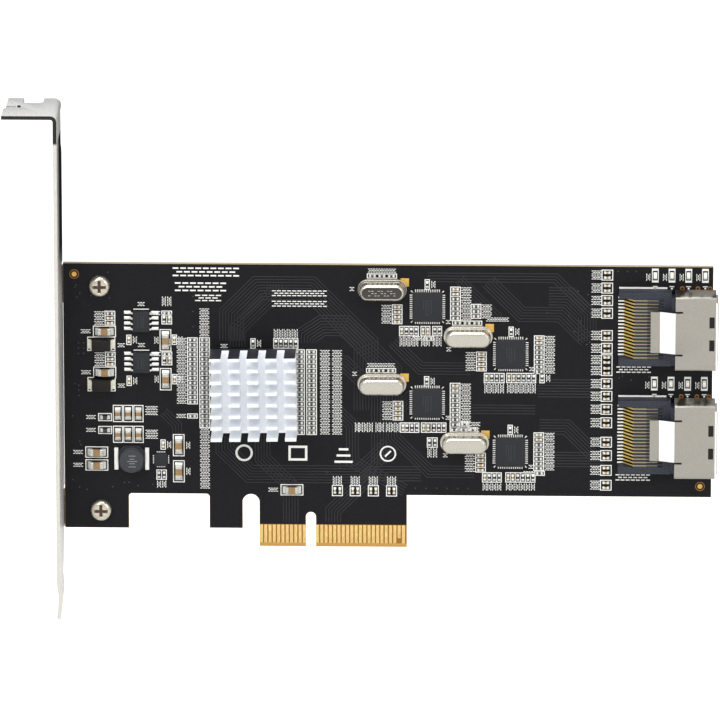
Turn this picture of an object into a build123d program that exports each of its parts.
from build123d import *

import os

# A four-lane expansion card with two right-angle cable sockets and a full-height slot bracket.
# Millimetres. X runs along the card away from the bracket, Z is up, and the component side faces -Y.
# The origin is the foot of the key slot's centre line, in the middle of the board's thickness.

# Board outline
board_thickness = 1.57
board_height = 67.75
key_to_bracket_end = 57.25
key_to_socket_end = 92.95
lower_edge_height = 12.65
edge_right_width = 22.30
edge_left_width = 11.95
key_slot_width = 2.35
key_slot_height = 8.42
relief_slot_width = 3.95
hook_width = 7.66
hook_foot_height = 4.42
notch_width = 18.81
foot_height = 4.30
corner_radius = 0.8
bevel_height = 1.0
bevel_depth = 0.38

# Edge contacts
contact_pitch = 1.0
contact_width = 0.70
contact_length = 4.33
contact_thickness = 0.05
left_contact_count = 11
right_contact_count = 21
short_contact_index = 19
short_contact_cut = 1.25

# Slot bracket
sheet = 0.86
bracket_height = 120.02
bracket_width = 18.42
bracket_front_reach = 14.50
bracket_gap = 0.30
flange_top_height = 105.90
flange_length = 11.75
bend_radius = 0.55
neck_drop = 2.0
neck_height = 8.6
neck_width = 15.70
shoulder_radius = 2.6
screw_notch_width = 4.60
screw_notch_depth = 4.90
screw_notch_inset = 5.30
screw_notch_corner = 0.8
slit_width = 0.45
slit_inset = 9.90
slit_end_width = 2.30
slit_end_length = 1.70
slit_length = 3.40
flange_step = 0.50
flange_step_inset = 7.90
body_foot_height = 6.05
tongue_shoulder = 2.9
tongue_taper_height = -2.6
tongue_width = 13.8
tongue_mid_width = 8.9
tongue_tip_width = 3.0
tongue_tip_corner = 0.7
joggle_offset = 0.40
joggle_height = -5.5
joggle_length = 3.2
tip_kick = 0.45
ear_length = 13.2
ear_height = 9.0
ear_relief = 0.6
ear_bend_radius = 0.20
ear_corner = 1.5

# Bracket screws
screw_inset = 8.45
upper_screw_drop = 5.35
lower_screw_height = 8.65
screw_hole_radius = 1.65
screw_head_radius = 2.45
screw_head_height = 1.75
screw_shank_radius = 1.40
screw_shank_length = 4.2
screw_head_bevel = 0.6
thread_clearance = 0.03
recess_width = 0.75
recess_length = 2.6
recess_depth = 1.0

# Heat sink on the bridge chip
bridge_x = -13.05
bridge_z = 38.10
bridge_side = 16.0
bridge_thickness = 1.20
thermal_pad_thickness = 0.30
heat_sink_side = 19.8
heat_sink_base = 1.55
fin_height = 7.7
fin_columns = 5
fin_rows = 8
channel_width = 1.68
fin_thickness = 0.72
heat_sink_turn = 0.8

# Four SATA chips in two columns
chip_side = 6.9
chip_thickness = 0.90
chip_edge = 0.10
chip_column_a = 27.0
chip_column_b = 46.3
chip_heights = [57.90, 46.75, 34.95, 23.30]

# Can crystals, beside the chips
crystal_length = 11.35
crystal_width = 4.7
crystal_height = 4.1
crystal_base_thickness = 0.45
crystal_flange_thickness = 0.40
crystal_can_inset = 0.45
crystal_can_bevel = 0.5
gold_pad_side = 1.95
crystal_offsets = [(-10.45, 4.10), (-9.85, 4.20), (-10.50, 4.50), (-10.60, 2.22)]
gold_pad_offsets = [(-5.25, 5.75), (-4.91, 6.15), (-5.26, 5.95), (-5.80, 4.05)]
pad_thickness = 0.04
fiducial_inset = 2.6
fiducial_radius = 0.58

# Eight-lead power chips
power_chip_x = -39.2
power_chip_heights = [54.15, 44.35]
power_body_width = 3.9
power_body_length = 4.9
power_body_height = 1.45
power_body_standoff = 0.12
power_body_draft = 7.0
lead_pitch = 1.27
lead_width = 0.42
lead_sheet = 0.20
lead_span = 6.1
lead_foot = 0.65
lead_knee = 0.20

# Inductor, converter and diodes of the supply
inductor_x = -41.6
inductor_z = 21.1
inductor_side = 6.2
inductor_base_thickness = 0.5
drum_radius = 2.75
drum_core_radius = 1.7
drum_flange = 0.6
drum_height = 2.9
winding_radius = 2.45
inductor_corner = 1.3
terminal_width = 4.6
terminal_reach = 0.95
terminal_sheet = 0.20
converter_x = -34.8
converter_z = 20.9
converter_side = 3.0
converter_thickness = 0.85
converter_edge = 0.10
diode_x = -48.5
diode_heights = [48.52, 38.85]
diode_length = 4.35
diode_width = 2.75
diode_height = 2.1
diode_standoff = 0.15
diode_draft = 6.0
diode_terminal_width = 2.2
diode_terminal_reach = 0.95
diode_knee = 0.25

# Status lights
light_pitch = 3.85
light_inset = 1.85
light_count = 4
light_row_drops = [2.07, 27.85]
light_width = 0.8
light_length = 1.6
light_lens_length = 1.0
light_height = 0.35
light_base = 0.25

# Cable sockets
socket_overhang = 0.65
socket_drops = [14.10, 39.95]
socket_contact_count = 18
socket_contact_pitch = 0.8
housing_length = 12.20
bay_margin = 0.22
housing_rear_height = 3.4
housing_cheek = 1.55
lead_bay = 3.6
nose_length = 7.6
nose_wall = 0.40
nose_height = 5.3
nose_standoff = 0.75
card_slot_margin = 0.47
card_slot_height = 1.5
card_slot_depth = 5.4
groove_width = 0.46
groove_depth = 0.35
groove_length = 6.7
shell_sheet = 0.25
shell_length = 9.35
nose_side_gap = 0.775
nose_top_gap = 1.04
shell_radius = 0.8
shell_gap = 0.85
shell_lip = 0.45
shell_lip_flare = 0.35
shell_lip_inset = 1.4
latch_width = 9.7
latch_length = 5.7
latch_drop = 1.5
latch_slit_length = 1.7
latch_slit_width = 0.45
latch_step = 2.1
latch_step_height = 0.35
shell_slot_length = 2.0
shell_slot_width = 0.7
shell_slot_spacing = 5.45
shell_slot_inset = 1.1
socket_contact_width = 0.36
socket_contact_sheet = 0.16
socket_foot_length = 1.3
socket_rise_length = 2.3
socket_bend_gap = 0.12
socket_contact_run = 3.1
lower_contact_length = 4.6

# Chip parts, and the solder under every part
small_length = 1.0
small_width = 0.5
small_height = 0.35
chip_part_pitch = 1.17
medium_length = 2.0
medium_width = 1.25
medium_height = 0.85
bead_length = 1.6
bead_width = 0.8
bead_height = 0.7
large_length = 3.2
large_width = 1.6
large_height = 1.1
coupling_inset = 24.45
coupling_drops = [2.03, 5.13, 8.10, 11.12, 16.45, 19.50, 22.24, 24.83]
coupling_drops_2 = [27.96, 30.99, 34.11, 37.33, 42.00, 45.22, 48.78, 52.35]
coupling_pitch = 1.2
bead_end = 0.30
medium_end = 0.55
large_end = 0.85
solder_gap = 0.04
edge_tolerance = 0.01

# Planes and edges that several pieces share
face_y = -board_thickness / 2
back_y = board_thickness / 2
board_left = -key_to_bracket_end
board_right = key_to_socket_end
bracket_inner_x = board_left - bracket_gap
bracket_outer_x = bracket_inner_x - sheet
bracket_front_y = face_y - bracket_front_reach
bracket_back_y = bracket_front_y + bracket_width
bracket_foot_z = flange_top_height - bracket_height
screw_x = board_left + screw_inset
screw_heights = [board_height - upper_screw_drop, lower_screw_height]
component_plane = Plane(origin=(0, face_y, 0), x_dir=(1, 0, 0), z_dir=(0, -1, 0))
solder_plane = Plane(origin=(0, back_y, 0), x_dir=(1, 0, 0), z_dir=(0, -1, 0))
os.makedirs("parts", exist_ok=True)


def above(height):
    """The component side's plane, moved out of the board by a height."""
    return component_plane.offset(height)


# Circuit board
relief_mid_x = -edge_left_width - relief_slot_width / 2
relief_left_x = relief_mid_x - relief_slot_width / 2
hook_left_x = relief_left_x - hook_width
foot_right_x = hook_left_x - notch_width
key_half = key_slot_width / 2
with BuildPart() as circuit_board:
    with BuildSketch(component_plane) as outline:
        with BuildLine():
            Polyline(
                (board_left, board_height),
                (board_right, board_height),
                (board_right, lower_edge_height),
                (edge_right_width, lower_edge_height),
                (edge_right_width, 0),
                (relief_mid_x, 0),
                (relief_mid_x, hook_foot_height),
                (hook_left_x, hook_foot_height),
                (hook_left_x, lower_edge_height),
                (foot_right_x, lower_edge_height),
                (foot_right_x, foot_height),
                (board_left, foot_height),
                close=True,
            )
        make_face()
        notch_corners = outline.vertices().filter_by(
            lambda v: abs(v.Y - lower_edge_height) < corner_radius and v.X < relief_left_x
        )
        fillet(notch_corners, corner_radius)
        for slot_x, slot_width, slot_height in (
            (0, key_slot_width, key_slot_height),
            (relief_mid_x, relief_slot_width, lower_edge_height),
        ):
            with Locations((slot_x, 0)):
                SlotCenterPoint((0, 0), (0, slot_height - slot_width / 2), slot_width, mode=Mode.SUBTRACT)
    extrude(amount=-board_thickness)
    for side in (-1, 1):
        with BuildSketch(Plane.YZ.offset(relief_left_x)):
            with BuildLine():
                Polyline(
                    (side * board_thickness, -1),
                    (side * board_thickness, bevel_height),
                    (side * board_thickness / 2, bevel_height),
                    (side * (board_thickness / 2 - bevel_depth), 0),
                    (side * (board_thickness / 2 - bevel_depth), -1),
                    close=True,
                )
            make_face()
        extrude(amount=edge_right_width - relief_left_x + 1, mode=Mode.SUBTRACT)
    with BuildSketch(component_plane):
        with Locations(*[(screw_x, z) for z in screw_heights]):
            Circle(screw_hole_radius)
    extrude(amount=-board_thickness, mode=Mode.SUBTRACT)
circuit_board.part.label = "circuit_board"
export_step(circuit_board.part, "parts/circuit_board.step")

# Edge contacts: 0.05 mm plates on both faces, above the bevel
key_to_contact = key_half + contact_width / 2
left_contacts = [-key_to_contact - i * contact_pitch for i in range(left_contact_count)]
right_contacts = [key_to_contact + i * contact_pitch for i in range(right_contact_count)]
contact_mid = bevel_height + contact_length / 2
for name, plane, sense, short_x in (
    ("edge_contacts_front", component_plane, 1, right_contacts[short_contact_index]),
    ("edge_contacts_back", solder_plane, -1, left_contacts[-1]),
):
    with BuildPart() as edge_contacts:
        with BuildSketch(plane):
            full = [x for x in left_contacts + right_contacts if x != short_x]
            with Locations(*[(x, contact_mid) for x in full]):
                Rectangle(contact_width, contact_length)
            with Locations((short_x, contact_mid + short_contact_cut / 2)):
                Rectangle(contact_width, contact_length - short_contact_cut)
        extrude(amount=sense * contact_thickness)
    edge_contacts.part.label = name
    export_step(edge_contacts.part, f"parts/{name}.step")

# Crystal places, and the bare gold pads on the board
chip_columns = [chip_column_a, chip_column_b, chip_column_a, chip_column_b]
chip_places = list(zip(chip_columns, chip_heights))
crystal_places = [(x + dx, z + dz) for (x, z), (dx, dz) in zip(chip_places, crystal_offsets)]
gold_pad_places = [(x + dx, z + dz) for (x, z), (dx, dz) in zip(chip_places, gold_pad_offsets)]
with BuildPart() as gold_pads:
    with BuildSketch(component_plane):
        with Locations(
            (board_left + fiducial_inset, board_height - fiducial_inset),
            (board_right - fiducial_inset, lower_edge_height + fiducial_inset),
        ):
            Circle(fiducial_radius)
        with Locations(*gold_pad_places):
            Rectangle(gold_pad_side, gold_pad_side)
    extrude(amount=pad_thickness)
gold_pads.part.label = "gold_pads"
export_step(gold_pads.part, "parts/gold_pads.step")

# Slot bracket: one folded sheet, drawn as its side view, swept across its width and then blanked out
body_mid_x = bracket_inner_x - sheet / 2
flange_mid_z = flange_top_height - sheet / 2
flange_end_x = bracket_outer_x - flange_length
neck_far_y = bracket_front_y + neck_width
neck_foot_z = flange_top_height - neck_drop - neck_height
notch_mid_x = bracket_outer_x - screw_notch_inset
tongue_mid_z = (tongue_taper_height + bracket_foot_z) / 2
with BuildPart() as slot_bracket:
    with BuildSketch(Plane.XZ.offset(-bracket_front_y)):
        with BuildLine() as fold:
            FilletPolyline(
                (flange_end_x, flange_mid_z),
                (body_mid_x, flange_mid_z),
                (body_mid_x, joggle_height),
                (body_mid_x + joggle_offset, joggle_height - joggle_length),
                (body_mid_x + joggle_offset - tip_kick, bracket_foot_z),
                radius=bend_radius + sheet / 2,
            )
        trace(fold.edges(), sheet)
    extrude(amount=-bracket_width)
    with BuildSketch(Plane.YZ.offset(flange_end_x)) as front_view:
        with BuildLine():
            Polyline(
                (bracket_front_y + tongue_tip_width, bracket_foot_z),
                (bracket_front_y, bracket_foot_z),
                (bracket_front_y, flange_top_height),
                (bracket_back_y, flange_top_height),
                (bracket_back_y, body_foot_height),
                (neck_far_y, tongue_shoulder),
                (bracket_front_y + tongue_width, tongue_taper_height),
            )
            ThreePointArc(
                (bracket_front_y + tongue_width, tongue_taper_height),
                (bracket_front_y + tongue_mid_width, tongue_mid_z),
                (bracket_front_y + tongue_tip_width, bracket_foot_z),
            )
        make_face()
        chamfer(front_view.vertices().group_by(Axis.Y)[0], tongue_tip_corner)
    extrude(amount=flange_length + 2 * sheet + joggle_offset, mode=Mode.INTERSECT)
    with BuildSketch(Plane.YZ.offset(bracket_outer_x)):
        with Locations((neck_far_y, neck_foot_z)):
            Rectangle(bracket_width, neck_height, align=(Align.MIN, Align.MIN), mode=Mode.ADD)
    extrude(amount=sheet, mode=Mode.SUBTRACT)
    shoulder = slot_bracket.edges().filter_by(Axis.X).filter_by_position(
        Axis.Y, bracket_back_y - edge_tolerance, bracket_back_y + edge_tolerance
    )
    fillet(shoulder.filter_by_position(Axis.Z, neck_foot_z - edge_tolerance, neck_foot_z + edge_tolerance), shoulder_radius)
    with BuildSketch(Plane.XY.offset(flange_top_height)) as screw_notch:
        with Locations((notch_mid_x, bracket_back_y)):
            Rectangle(screw_notch_width, screw_notch_depth, align=(Align.CENTER, Align.MAX))
        chamfer(screw_notch.vertices().group_by(Axis.Y)[0], screw_notch_corner)
    extrude(amount=-sheet, mode=Mode.SUBTRACT)
    with BuildSketch(Plane.XY.offset(flange_top_height)):
        with Locations((flange_end_x, bracket_front_y + slit_inset)):
            Rectangle(slit_length, slit_width, align=(Align.MIN, Align.CENTER))
        with Locations((flange_end_x + slit_length, bracket_front_y + slit_inset)):
            SlotOverall(slit_end_width, slit_end_length, rotation=90)
        with Locations((flange_end_x, bracket_front_y + flange_step_inset)):
            Rectangle(flange_step, bracket_width, align=(Align.MIN, Align.MIN))
    extrude(amount=-sheet, mode=Mode.SUBTRACT)
    # Two ears folded round behind the board, each with relief notches beside its fold
    ear_mid_y = back_y + sheet / 2
    ear_fold = ear_bend_radius + sheet / 2
    ear_root_y = ear_mid_y - ear_fold
    for screw_z in screw_heights:
        with BuildSketch(Plane.YZ.offset(bracket_outer_x)):
            with Locations((ear_root_y, screw_z)):
                Rectangle(bracket_width, ear_height + 2 * ear_relief, align=(Align.MIN, Align.CENTER))
        extrude(amount=sheet, mode=Mode.SUBTRACT)
        with BuildSketch(Plane.XY.offset(screw_z - ear_height / 2)):
            with BuildLine() as ear_line:
                FilletPolyline(
                    (body_mid_x, ear_root_y - ear_relief),
                    (body_mid_x, ear_mid_y),
                    (bracket_inner_x + ear_length, ear_mid_y),
                    radius=ear_fold,
                )
            trace(ear_line.edges(), sheet)
        extrude(amount=ear_height)
    with BuildSketch(solder_plane):
        with Locations(*[(screw_x, z) for z in screw_heights]):
            Circle(screw_shank_radius + thread_clearance)
    extrude(amount=-sheet, mode=Mode.SUBTRACT)
    ear_corners = slot_bracket.edges().filter_by(Axis.Y).filter_by_position(
        Axis.X, bracket_inner_x + ear_length - edge_tolerance, bracket_inner_x + ear_length + edge_tolerance
    )
    chamfer(ear_corners, ear_corner)
slot_bracket.part.label = "slot_bracket"
export_step(slot_bracket.part, "parts/slot_bracket.step")

# Bracket screws: pan heads with a cross recess, through the board into the ears
with BuildPart() as bracket_screws:
    with BuildSketch(component_plane):
        with Locations(*[(screw_x, z) for z in screw_heights]):
            Circle(screw_shank_radius)
    extrude(amount=-screw_shank_length)
    with BuildSketch(component_plane):
        with Locations(*[(screw_x, z) for z in screw_heights]):
            Circle(screw_head_radius)
    extrude(amount=screw_head_height)
    chamfer(bracket_screws.faces().sort_by(Axis.Y)[:2].edges(), screw_head_bevel)
    with BuildSketch(above(screw_head_height)):
        with Locations(*[(screw_x, z) for z in screw_heights]):
            Rectangle(recess_length, recess_width)
            Rectangle(recess_width, recess_length)
    extrude(amount=-recess_depth, mode=Mode.SUBTRACT)
bracket_screws.part.label = "bracket_screws"
export_step(bracket_screws.part, "parts/bracket_screws.step")

# Bridge chip, thermal pad and heat sink: a finned bar, cross-cut into 40 pins
with BuildPart() as bridge_chip:
    with BuildSketch(above(solder_gap)):
        with Locations((bridge_x, bridge_z)):
            Rectangle(bridge_side, bridge_side)
    extrude(amount=bridge_thickness)
bridge_chip.part.label = "bridge_chip"
export_step(bridge_chip.part, "parts/bridge_chip.step")

pad_bottom = solder_gap + bridge_thickness
with BuildPart() as thermal_pad:
    with BuildSketch(above(pad_bottom)):
        with Locations((bridge_x, bridge_z)):
            Rectangle(bridge_side, bridge_side)
    extrude(amount=thermal_pad_thickness)
thermal_pad.part.label = "thermal_pad"
export_step(thermal_pad.part, "parts/thermal_pad.step")

sink_bottom = pad_bottom + thermal_pad_thickness
sink_base_y = face_y - sink_bottom
fin_pitch = (heat_sink_side - fin_thickness) / (fin_rows - 1)
fin_width = (heat_sink_side - (fin_columns - 1) * channel_width) / fin_columns
with BuildPart() as heat_sink:
    with BuildSketch(Plane.YZ.offset(bridge_x - heat_sink_side / 2)):
        with Locations((sink_base_y, bridge_z)):
            Rectangle(heat_sink_base, heat_sink_side, align=(Align.MAX, Align.CENTER))
        with Locations((sink_base_y - heat_sink_base, bridge_z)):
            with GridLocations(fin_height, fin_pitch, 1, fin_rows):
                Rectangle(fin_height, fin_thickness, align=(Align.MAX, Align.CENTER))
    extrude(amount=heat_sink_side)
    with BuildSketch(above(sink_bottom + heat_sink_base)):
        with Locations((bridge_x, bridge_z)):
            with GridLocations(fin_width + channel_width, heat_sink_side, fin_columns - 1, 1):
                Rectangle(channel_width, heat_sink_side)
    extrude(amount=fin_height, mode=Mode.SUBTRACT)
stuck_heat_sink = heat_sink.part.rotate(Axis((bridge_x, 0, bridge_z), (0, -1, 0)), heat_sink_turn)
stuck_heat_sink.label = "heat_sink"
export_step(stuck_heat_sink, "parts/heat_sink.step")

# SATA chips: thin square packages
for number, (x, z) in enumerate(chip_places, 1):
    with BuildPart() as sata_chip:
        with BuildSketch(above(solder_gap)):
            with Locations((x, z)):
                Rectangle(chip_side, chip_side)
        extrude(amount=chip_thickness)
        chamfer(sata_chip.faces().sort_by(Axis.Y)[0].edges(), chip_edge)
    sata_chip.part.label = f"sata_chip_{number}"
    export_step(sata_chip.part, f"parts/sata_chip_{number}.step")

# Crystals: a drawn can with a rolled flange, on a thin insulating base
crystal_bottom = pad_thickness + solder_gap
crystal_flange_bottom = crystal_bottom + crystal_base_thickness
for number, (x, z) in enumerate(crystal_places, 1):
    with BuildPart() as crystal_base:
        with BuildSketch(above(crystal_bottom)):
            with Locations((x, z)):
                SlotOverall(crystal_length, crystal_width)
        extrude(amount=crystal_base_thickness)
    crystal_base.part.label = f"crystal_base_{number}"
    export_step(crystal_base.part, f"parts/crystal_base_{number}.step")
    with BuildPart() as crystal_can:
        with BuildSketch(above(crystal_flange_bottom)):
            with Locations((x, z)):
                SlotOverall(crystal_length, crystal_width)
        extrude(amount=crystal_flange_thickness)
        with BuildSketch(above(crystal_flange_bottom)):
            with Locations((x, z)):
                SlotOverall(crystal_length - 2 * crystal_can_inset, crystal_width - 2 * crystal_can_inset)
        extrude(amount=crystal_height - crystal_flange_bottom)
        chamfer(crystal_can.faces().sort_by(Axis.Y)[0].edges(), crystal_can_bevel)
    crystal_can.part.label = f"crystal_can_{number}"
    export_step(crystal_can.part, f"parts/crystal_can_{number}.step")

# Power chips: drafted bodies split at the lead line, and gull-wing leads
lead_line = power_body_standoff + power_body_height / 2
lead_offsets = [(i - 1.5) * lead_pitch for i in range(4)]
for number, z in enumerate(power_chip_heights, 1):
    with BuildPart() as power_chip:
        with BuildSketch(above(lead_line)):
            with Locations((power_chip_x, z)):
                Rectangle(power_body_width, power_body_length)
        extrude(amount=power_body_height / 2, both=True, taper=power_body_draft)
    power_chip.part.label = f"power_chip_{number}"
    export_step(power_chip.part, f"parts/power_chip_{number}.step")
    with BuildPart() as power_chip_leads:
        for side in (-1, 1):
            for offset_z in lead_offsets:
                with BuildSketch(Plane.XY.offset(z + offset_z - lead_width / 2)):
                    with BuildLine() as lead_path:
                        foot_end = power_chip_x + side * lead_span / 2
                        foot_y = face_y - solder_gap - lead_sheet / 2
                        lead_y = face_y - lead_line
                        Polyline(
                            (power_chip_x + side * power_body_width / 2, lead_y),
                            (foot_end - side * (lead_foot + lead_knee), lead_y),
                            (foot_end - side * lead_foot, foot_y),
                            (foot_end, foot_y),
                        )
                    trace(lead_path.edges(), lead_sheet)
                extrude(amount=lead_width)
    power_chip_leads.part.label = f"power_chip_leads_{number}"
    export_step(power_chip_leads.part, f"parts/power_chip_leads_{number}.step")

# Supply inductor: moulded base with its terminals, wound ferrite drum
with BuildPart() as inductor_base:
    with BuildSketch(above(solder_gap)) as base_outline:
        with Locations((inductor_x, inductor_z)):
            Rectangle(inductor_side, inductor_side)
        chamfer(base_outline.vertices(), inductor_corner)
    extrude(amount=inductor_base_thickness)
inductor_base.part.label = "inductor_base"
export_step(inductor_base.part, "parts/inductor_base.step")

with BuildPart() as inductor_terminals:
    with BuildSketch(above(solder_gap)):
        for side in (-1, 1):
            with Locations((inductor_x + side * (inductor_side + terminal_reach) / 2, inductor_z)):
                Rectangle(terminal_reach, terminal_width)
    extrude(amount=terminal_sheet)
inductor_terminals.part.label = "inductor_terminals"
export_step(inductor_terminals.part, "parts/inductor_terminals.step")

drum_bottom = solder_gap + inductor_base_thickness
drum_axis = Plane(origin=(inductor_x, face_y - drum_bottom, inductor_z), x_dir=(1, 0, 0), z_dir=(0, 0, 1))
drum_top = -(drum_height - drum_bottom)
with BuildPart() as inductor_drum:
    with BuildSketch(drum_axis):
        with BuildLine():
            Polyline(
                (0, 0),
                (drum_radius, 0),
                (drum_radius, -drum_flange),
                (drum_core_radius, -drum_flange),
                (drum_core_radius, drum_top + drum_flange),
                (drum_radius, drum_top + drum_flange),
                (drum_radius, drum_top),
                (0, drum_top),
                close=True,
            )
        make_face()
    revolve(axis=Axis((inductor_x, 0, inductor_z), (0, 1, 0)))
inductor_drum.part.label = "inductor_drum"
export_step(inductor_drum.part, "parts/inductor_drum.step")

with BuildPart() as inductor_winding:
    with BuildSketch(drum_axis):
        with BuildLine():
            Polyline(
                (drum_core_radius, -drum_flange),
                (winding_radius, -drum_flange),
                (winding_radius, drum_top + drum_flange),
                (drum_core_radius, drum_top + drum_flange),
                close=True,
            )
        make_face()
    revolve(axis=Axis((inductor_x, 0, inductor_z), (0, 1, 0)))
inductor_winding.part.label = "inductor_winding"
export_step(inductor_winding.part, "parts/inductor_winding.step")

with BuildPart() as converter_chip:
    with BuildSketch(above(solder_gap)):
        with Locations((converter_x, converter_z)):
            Rectangle(converter_side, converter_side)
    extrude(amount=converter_thickness)
    chamfer(converter_chip.faces().sort_by(Axis.Y)[0].edges(), converter_edge)
converter_chip.part.label = "converter_chip"
export_step(converter_chip.part, "parts/converter_chip.step")

# Diodes: drafted bodies with a bent strip at each end
diode_line = diode_standoff + diode_height / 2
with BuildPart() as diode_bodies:
    with BuildSketch(above(diode_line)):
        with Locations(*[(diode_x, z) for z in diode_heights]):
            Rectangle(diode_length, diode_width)
    extrude(amount=diode_height / 2, both=True, taper=diode_draft)
diode_bodies.part.label = "diode_bodies"
export_step(diode_bodies.part, "parts/diode_bodies.step")

with BuildPart() as diode_terminals:
    for side in (-1, 1):
        for z in diode_heights:
            with BuildSketch(Plane.XY.offset(z - diode_terminal_width / 2)):
                with BuildLine() as strip:
                    body_end = diode_x + side * diode_length / 2
                    strip_y = face_y - diode_line
                    foot_y = face_y - solder_gap - terminal_sheet / 2
                    Polyline(
                        (body_end, strip_y),
                        (body_end + side * diode_knee, strip_y),
                        (body_end + side * diode_knee, foot_y),
                        (body_end + side * diode_terminal_reach, foot_y),
                    )
                trace(strip.edges(), terminal_sheet)
            extrude(amount=diode_terminal_width)
diode_terminals.part.label = "diode_terminals"
export_step(diode_terminals.part, "parts/diode_terminals.step")

# Status lights in two rows of four at the socket end
light_columns = [board_right - light_inset - i * light_pitch for i in range(light_count)]
light_places = [(x, board_height - drop) for drop in light_row_drops for x in light_columns]
with BuildPart() as status_light_bases:
    with BuildSketch(above(solder_gap)):
        with Locations(*light_places):
            Rectangle(light_width, light_length)
    extrude(amount=light_base)
status_light_bases.part.label = "status_light_bases"
export_step(status_light_bases.part, "parts/status_light_bases.step")

with BuildPart() as status_lights:
    with BuildSketch(above(solder_gap + light_base)):
        with Locations(*light_places):
            Rectangle(light_width, light_lens_length)
    extrude(amount=light_height)
status_lights.part.label = "status_lights"
export_step(status_lights.part, "parts/status_lights.step")

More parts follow.
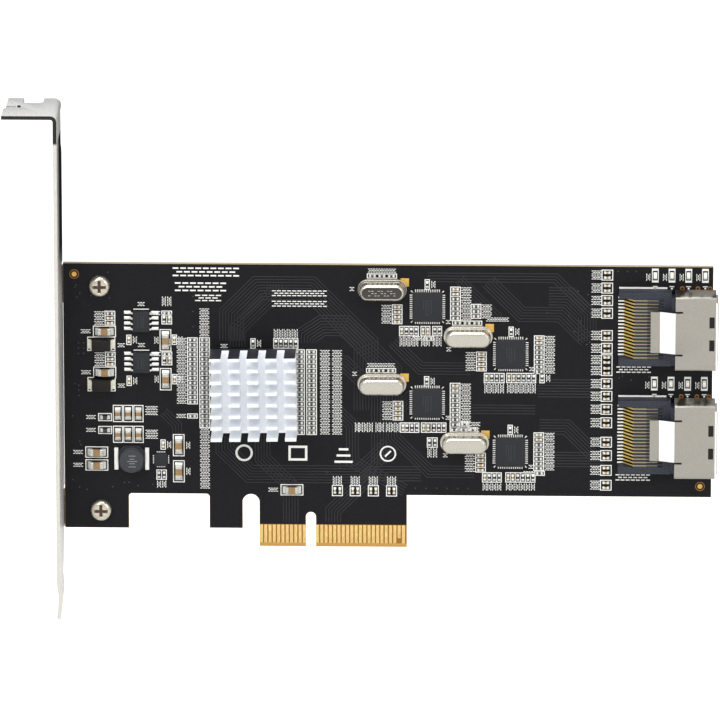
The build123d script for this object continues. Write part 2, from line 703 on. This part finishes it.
# Cable sockets: housing, two rows of contacts and a folded shell with a latch tongue
shell_mouth_x = board_right + socket_overhang
shell_rear_x = shell_mouth_x - shell_length
housing_front_x = shell_rear_x - shell_gap
housing_rear_x = housing_front_x - housing_length
nose_front_x = housing_front_x + nose_length
contact_span = (socket_contact_count - 1) * socket_contact_pitch
contact_spread = contact_span + socket_contact_width
card_slot_width = contact_spread + 2 * card_slot_margin
nose_width = card_slot_width + 2 * nose_wall
housing_width = contact_spread + 2 * (bay_margin + housing_cheek)
shell_width = nose_width + 2 * (nose_side_gap + shell_sheet)
shell_height = nose_standoff - solder_gap + nose_height + nose_top_gap + shell_sheet
groove_floor = housing_rear_height - groove_depth
card_slot_bottom = nose_standoff + (nose_height - card_slot_height) / 2
for number, socket_drop in enumerate(socket_drops, 1):
    socket_z = board_height - socket_drop
    contact_places = [
        socket_z + contact_span / 2 - i * socket_contact_pitch for i in range(socket_contact_count)
    ]
    with BuildPart() as housing:
        with BuildSketch(above(solder_gap)):
            with Locations((housing_rear_x, socket_z)):
                Rectangle(housing_length, housing_width, align=(Align.MIN, Align.CENTER))
                Rectangle(
                    lead_bay,
                    housing_width - 2 * housing_cheek,
                    align=(Align.MIN, Align.CENTER),
                    mode=Mode.SUBTRACT,
                )
        extrude(amount=housing_rear_height - solder_gap)
        with BuildSketch(above(groove_floor)):
            with Locations(*[(housing_rear_x + lead_bay, z) for z in contact_places]):
                Rectangle(groove_length, groove_width, align=(Align.MIN, Align.CENTER))
        extrude(amount=groove_depth, mode=Mode.SUBTRACT)
        with BuildSketch(Plane.YZ.offset(housing_front_x)):
            with Locations((face_y - nose_standoff - nose_height / 2, socket_z)):
                Rectangle(nose_height, nose_width)
                Rectangle(card_slot_height, card_slot_width, mode=Mode.SUBTRACT)
        extrude(amount=nose_length)
        with BuildSketch(Plane.YZ.offset(housing_front_x)):
            with Locations((face_y - nose_standoff - nose_height / 2, socket_z)):
                Rectangle(card_slot_height, card_slot_width)
        extrude(amount=nose_length - card_slot_depth)
    housing.part.label = f"cable_socket_housing_{number}"
    export_step(housing.part, f"parts/cable_socket_housing_{number}.step")

    with BuildPart() as upper_contacts:
        for z in contact_places:
            with BuildSketch(Plane.XY.offset(z - socket_contact_width / 2)):
                with BuildLine() as contact_path:
                    rise_end_x = housing_rear_x + lead_bay - socket_bend_gap
                    foot_y = face_y - solder_gap - socket_contact_sheet / 2
                    run_y = face_y - groove_floor - socket_contact_sheet / 2
                    Polyline(
                        (rise_end_x - socket_rise_length - socket_foot_length, foot_y),
                        (rise_end_x - socket_rise_length, foot_y),
                        (rise_end_x, run_y),
                        (rise_end_x + socket_contact_run, run_y),
                    )
                trace(contact_path.edges(), socket_contact_sheet)
            extrude(amount=socket_contact_width)
    upper_contacts.part.label = f"cable_socket_upper_contacts_{number}"
    export_step(upper_contacts.part, f"parts/cable_socket_upper_contacts_{number}.step")

    with BuildPart() as lower_contacts:
        with BuildSketch(above(card_slot_bottom)):
            with Locations(*[(nose_front_x - card_slot_depth, z) for z in contact_places]):
                Rectangle(lower_contact_length, socket_contact_width, align=(Align.MIN, Align.CENTER))
        extrude(amount=socket_contact_sheet)
    lower_contacts.part.label = f"cable_socket_lower_contacts_{number}"
    export_step(lower_contacts.part, f"parts/cable_socket_lower_contacts_{number}.step")

    shell_top_y = face_y - solder_gap - shell_height
    shell_mid_y = face_y - solder_gap - shell_height / 2
    latch_root_x = shell_rear_x + latch_slit_length
    with BuildPart() as shell:
        with BuildSketch(Plane.YZ.offset(shell_rear_x)):
            with Locations((shell_mid_y, socket_z)):
                RectangleRounded(shell_height, shell_width, shell_radius)
                RectangleRounded(
                    shell_height - 2 * shell_sheet,
                    shell_width - 2 * shell_sheet,
                    shell_radius - shell_sheet,
                    mode=Mode.SUBTRACT,
                )
        extrude(amount=shell_length)
        # The latch tongue is slit free of the top wall and springs back over the housing
        with BuildSketch(above(solder_gap + shell_height)):
            with Locations((shell_rear_x, socket_z)):
                Rectangle(
                    latch_slit_length,
                    latch_width + 2 * latch_slit_width,
                    align=(Align.MIN, Align.CENTER),
                )
            with Locations((shell_mouth_x - shell_slot_inset, socket_z)):
                with GridLocations(shell_slot_width, shell_slot_spacing, 1, 2):
                    Rectangle(shell_slot_width, shell_slot_length)
        extrude(amount=-shell_sheet, mode=Mode.SUBTRACT)
        with BuildSketch(Plane.XY.offset(socket_z - latch_width / 2)):
            with BuildLine() as latch_path:
                tongue_y = shell_top_y + shell_sheet / 2
                free_x = shell_rear_x - latch_length
                Polyline(
                    (latch_root_x, tongue_y),
                    (shell_rear_x, tongue_y),
                    (free_x + latch_step, tongue_y + latch_drop),
                    (free_x + latch_step - latch_step_height, tongue_y + latch_drop - latch_step_height),
                    (free_x, tongue_y + latch_drop),
                )
            trace(latch_path.edges(), shell_sheet)
        extrude(amount=latch_width)
        # Flared lips at the mouth
        with BuildSketch(Plane.XY.offset(socket_z - shell_width / 2 + shell_lip_inset)):
            for side in (-1, 1):
                wall_y = shell_mid_y + side * (shell_height - shell_sheet) / 2
                with BuildLine() as lip:
                    Line((shell_mouth_x, wall_y), (shell_mouth_x + shell_lip, wall_y + side * shell_lip_flare))
                trace(lip.edges(), shell_sheet)
        extrude(amount=shell_width - 2 * shell_lip_inset)
    shell.part.label = f"cable_socket_shell_{number}"
    export_step(shell.part, f"parts/cable_socket_shell_{number}.step")

# Chip parts. Each entry gives the middle of a column or a row, how many parts it has and their pitch:
# a column is a pile of parts that lie along X, and a row is a line of parts that stand along Z.
def column(place, offset, count=1, pitch=0.0):
    """Places of a pile of parts, its middle set off from another place."""
    middle = (count - 1) / 2
    return [(place[0] + offset[0], place[1] + offset[1] + (middle - i) * pitch) for i in range(count)]


def row(place, offset, count=1, pitch=0.0):
    """Places of a line of parts, its middle set off from another place."""
    middle = (count - 1) / 2
    return [(place[0] + offset[0] + (i - middle) * pitch, place[1] + offset[1]) for i in range(count)]


bridge = (bridge_x, bridge_z)
inductor = (inductor_x, inductor_z)
converter = (converter_x, converter_z)
key = (0, lower_edge_height)
chip_a, chip_b, chip_c, chip_d = chip_places
flat_capacitors = [
    *column(chip_a, (-7.00, -1.85), 4, 1.16),
    *column(chip_a, (6.49, 3.65), 2, 1.15),
    *column(chip_b, (-6.79, -1.85), 4, 1.17),
    *column(chip_b, (6.58, 3.31), 2, 1.13),
    *column(chip_c, (-6.78, -1.98), 4, 1.16),
    *column(chip_c, (6.48, 3.56), 2, 1.16),
    *column(chip_d, (-6.90, -2.67), 4, 1.18),
    *column(chip_d, (6.59, 3.55), 2, 1.14),
]
upright_capacitors = [
    *row(chip_a, (-5.94, -5.86)),
    *row(chip_a, (-0.45, -5.83), 2, 1.08),
    *row(chip_b, (-5.60, -5.80)),
    *row(chip_b, (0.17, -5.76), 2, 1.07),
    *row(chip_c, (-5.59, -6.02)),
    *row(chip_c, (-0.29, -5.98), 2, 1.05),
    *row(chip_d, (-5.91, -6.23)),
    *row(chip_d, (0.04, -6.18), 2, 1.08),
    *row(converter, (0.50, 3.53)),
]
flat_resistors = [
    *column(bridge, (-14.35, 4.08), 14, 1.141),
    *column(bridge, (-11.55, 1.27), 19, 1.141),
    *column(bridge, (-14.40, -6.74)),
    *column(bridge, (10.45, -0.83), 18, 1.136),
    *column(bridge, (13.24, -0.83), 18, 1.136),
    *column(chip_a, (6.49, -0.38), 5, 1.15),
    *column(chip_a, (0.36, -7.56)),
    *column(chip_b, (-8.06, 10.12), 3, 1.17),
    *column(chip_b, (6.58, -1.28), 6, 1.137),
    *column(chip_c, (6.48, -1.68), 7, 1.16),
    *column(chip_c, (8.66, -5.08)),
    *column(chip_d, (6.59, -1.11), 6, 1.136),
    *column(chip_d, (6.80, -5.14)),
    *row(chip_a, (-10.52, 7.24), 3, 2.20),
    *row(chip_b, (-10.10, 7.30), 3, 2.20),
    *row(chip_c, (-10.70, 7.60), 3, 2.20),
    *row(chip_d, (-10.87, 5.20), 3, 2.15),
]
upright_resistors = [
    *row(bridge, (-0.30, 10.75)),
    *row(bridge, (7.29, 10.80), 5, 1.15),
    *row(converter, (0.10, -3.70), 2, 1.20),
    *row(chip_a, (-3.70, -5.86), 3, 1.12),
    *row(chip_a, (2.26, -5.81), 2, 1.07),
    *row(chip_a, (-0.05, 5.30)),
    *row(chip_b, (-3.20, -5.80), 3, 1.20),
    *row(chip_b, (3.59, -5.76), 4, 1.17),
    *row(chip_b, (7.28, -5.73)),
    *row(chip_b, (0.08, 5.30)),
    *row(chip_c, (-3.52, -6.02), 3, 1.15),
    *row(chip_c, (2.72, -5.98), 3, 1.14),
    *row(chip_c, (1.19, -9.57), 2, 1.29),
    *row(chip_c, (-0.15, 5.12)),
    *row(chip_d, (-3.69, -6.23), 3, 1.15),
    *row(chip_d, (3.52, -6.18), 4, 1.18),
    *row(chip_d, (-0.05, 5.24)),
]
large_flat = [*column(inductor, (-8.15, -0.13), 2, 3.10), *column(key, (-4.40, 1.10))]
large_upright = column(converter, (4.12, 0.27), 2, 6.28)
beads = column(inductor, (-6.15, 8.30), 2, 3.10)
medium = [*row(inductor, (-0.78, 10.75), 3, 2.40), *row(inductor, (-0.78, 5.75), 3, 2.40)]
power_large_offsets = [(5.58, -4.68), (5.58, -4.20)]
power_small_offsets = [(7.65, -4.52), (7.65, -4.17)]
for z, large_offset, small_offset in zip(power_chip_heights, power_large_offsets, power_small_offsets):
    power_chip_place = (power_chip_x, z)
    flat_resistors += column(power_chip_place, (-7.25, 1.68))
    flat_capacitors += column(power_chip_place, (-7.25, -0.04), 2, 1.18)
    flat_resistors += column(power_chip_place, (5.90, 1.81))
    upright_resistors += row(power_chip_place, (5.28, 0.35))
    upright_capacitors += row(power_chip_place, (6.52, 0.35))
    upright_capacitors += row(power_chip_place, (-2.90, -4.63))
    upright_capacitors += row(power_chip_place, small_offset)
    large_flat += column(power_chip_place, (-8.55, -2.65))
    large_upright += column(power_chip_place, large_offset)
for pair_x in (6.16, 10.31, 14.52, 18.75):
    upright_capacitors += row(key, (pair_x, 1.00), 2, 1.15)
for drop in coupling_drops + coupling_drops_2:
    coupling_middle = (board_right - coupling_inset, board_height - drop)
    flat_capacitors += column(coupling_middle, (0, 0), 2, coupling_pitch)

for name, flat, upright in (
    ("small_capacitors", flat_capacitors, upright_capacitors),
    ("small_resistors", flat_resistors, upright_resistors),
):
    with BuildPart() as small_parts:
        with BuildSketch(above(solder_gap)):
            with Locations(*flat):
                Rectangle(small_length, small_width)
            with Locations(*upright):
                Rectangle(small_width, small_length)
        extrude(amount=small_height)
    small_parts.part.label = name
    export_step(small_parts.part, f"parts/{name}.step")

# Larger chip parts have their metal ends as pieces of their own
for name, flat, upright, length, width, height, end in (
    ("large_capacitor", large_flat, large_upright, large_length, large_width, large_height, large_end),
    ("medium_capacitor", [], medium, medium_length, medium_width, medium_height, medium_end),
    ("ferrite_bead", beads, [], bead_length, bead_width, bead_height, bead_end),
):
    middle = length - 2 * end
    reach = (length - end) / 2
    with BuildPart() as bodies:
        with BuildSketch(above(solder_gap)):
            if flat:
                with Locations(*flat):
                    Rectangle(middle, width)
            if upright:
                with Locations(*upright):
                    Rectangle(width, middle)
        extrude(amount=height)
    bodies.part.label = f"{name}s"
    export_step(bodies.part, f"parts/{name}s.step")
    with BuildPart() as ends:
        with BuildSketch(above(solder_gap)):
            for side in (-1, 1):
                if flat:
                    with Locations(*[(x + side * reach, z) for x, z in flat]):
                        Rectangle(end, width)
                if upright:
                    with Locations(*[(x, z + side * reach) for x, z in upright]):
                        Rectangle(width, end)
        extrude(amount=height)
    ends.part.label = f"{name}_ends"
    export_step(ends.part, f"parts/{name}_ends.step")
